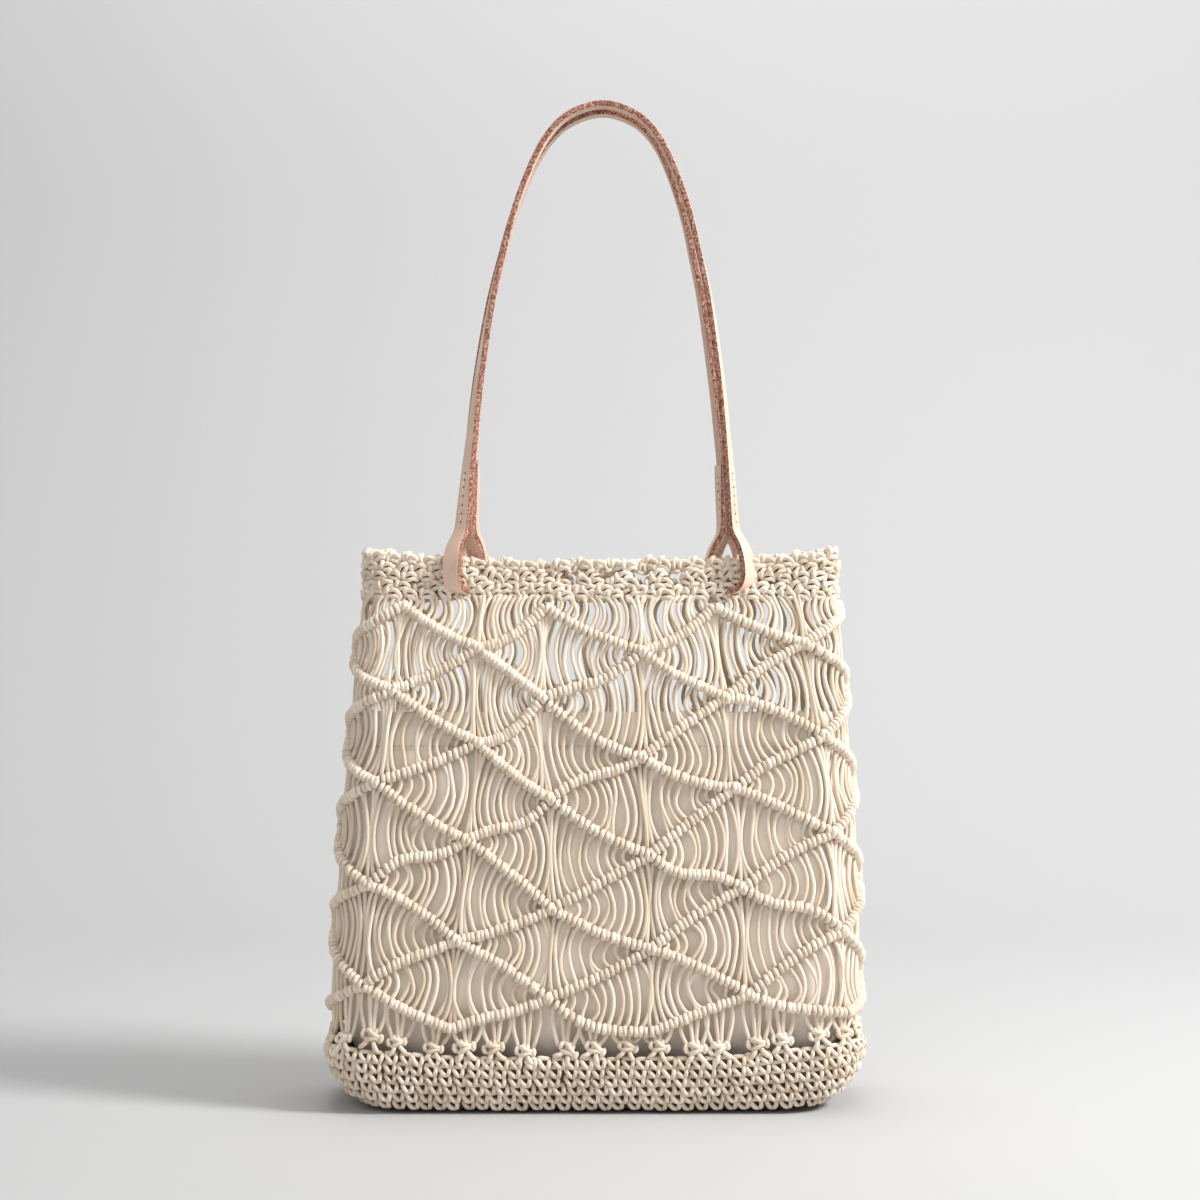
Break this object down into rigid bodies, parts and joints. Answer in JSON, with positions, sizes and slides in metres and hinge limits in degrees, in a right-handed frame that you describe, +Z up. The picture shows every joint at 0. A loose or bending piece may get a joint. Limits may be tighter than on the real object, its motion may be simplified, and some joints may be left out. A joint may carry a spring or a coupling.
{
  "type": "macrame tote bag",
  "caption": "Knotted cotton tote bag with a lattice of hitch ridges over a canvas pouch, a crocheted base and two long leather handles looped round its rim.",
  "frame": {"origin": "centre of the bag's floor, on the surface that it stands on", "axes": "+Z up to the handles, X along the bag's width, -Y the front"},
  "size_m": [0.355, 0.1202, 0.6646],
  "materials": {
    "cotton_cord": "matt braided cotton cord",
    "canvas": "matt woven canvas",
    "leather": "smooth satin vegetable-tanned grain"
  },
  "bodies": {
    "root": {"base": "cotton_cord", "knot_row": "cotton_cord", "net": "cotton_cord", "rim_band": "cotton_cord", "pouch": "canvas", "handle_front": "leather", "handle_back": "leather"}
  },
  "joints": []
}
